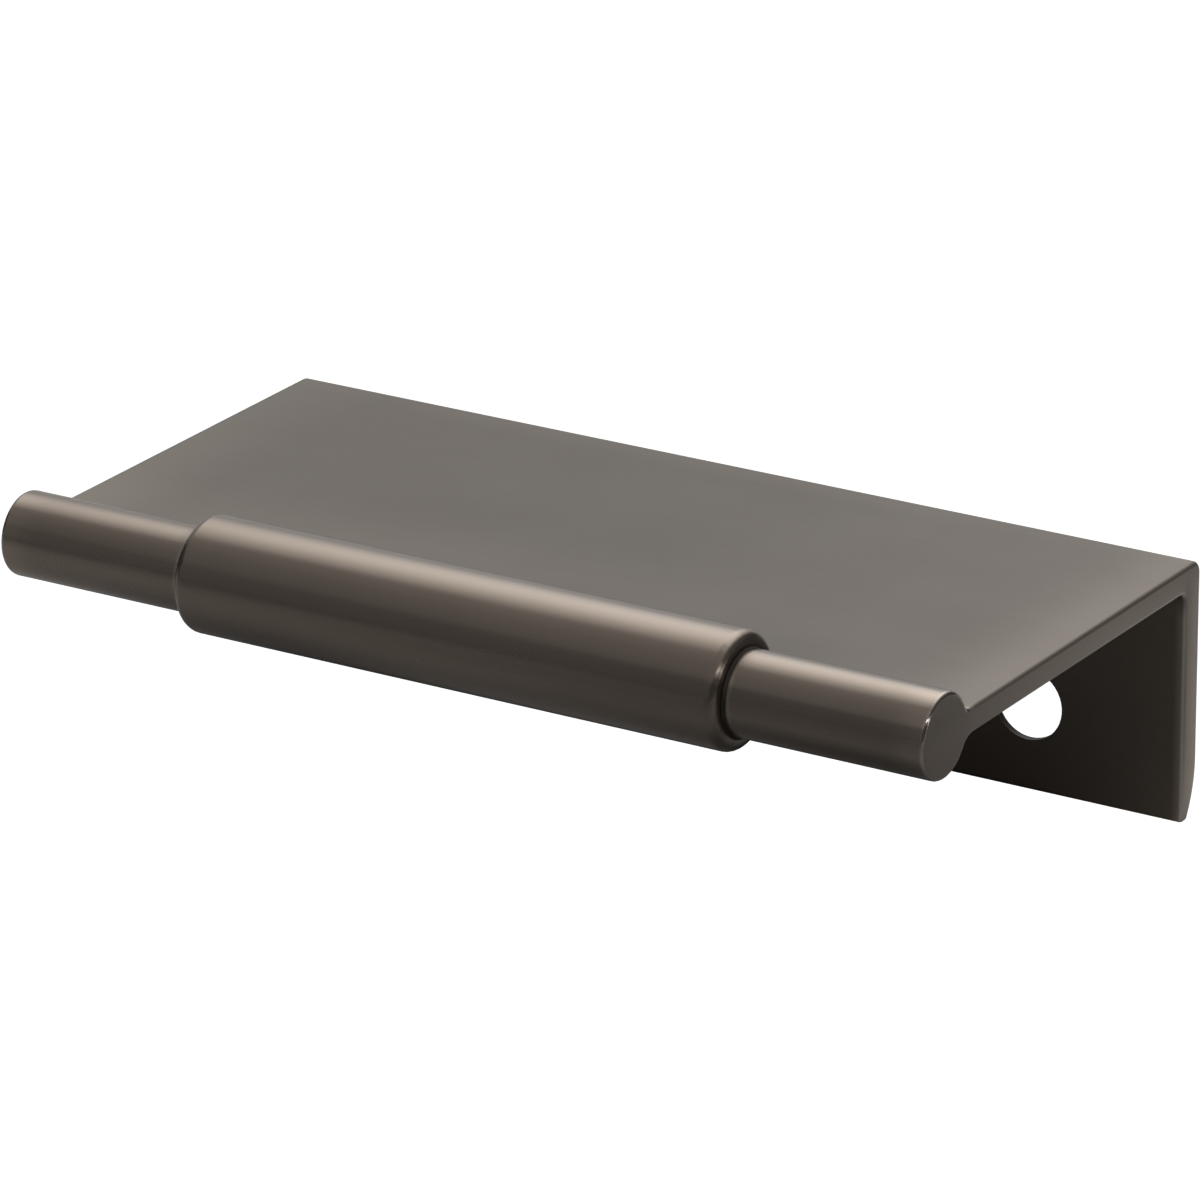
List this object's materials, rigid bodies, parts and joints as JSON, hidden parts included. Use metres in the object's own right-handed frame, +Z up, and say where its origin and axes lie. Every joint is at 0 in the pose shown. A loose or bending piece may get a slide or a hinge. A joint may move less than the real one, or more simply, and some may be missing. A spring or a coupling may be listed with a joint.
{
  "type": "tab pull",
  "caption": "One-piece cast tab pull: a plate that lies on a drawer front's top edge, a flange screwed behind it, and a round front bar with a thicker grip.",
  "frame": {"origin": "midway between the screw holes, on the flange face that seats against the back of the drawer front", "axes": "+X along the pull, -Y towards the hand (the bar side), +Z up, with the plate lying flat"},
  "size_m": [0.114, 0.0614, 0.0346],
  "materials": {
    "dark_satin_metal": "dark warm-grey plating over cast metal, satin brushed along the length"
  },
  "bodies": {
    "root": {"tab_pull": "dark_satin_metal"}
  },
  "joints": []
}
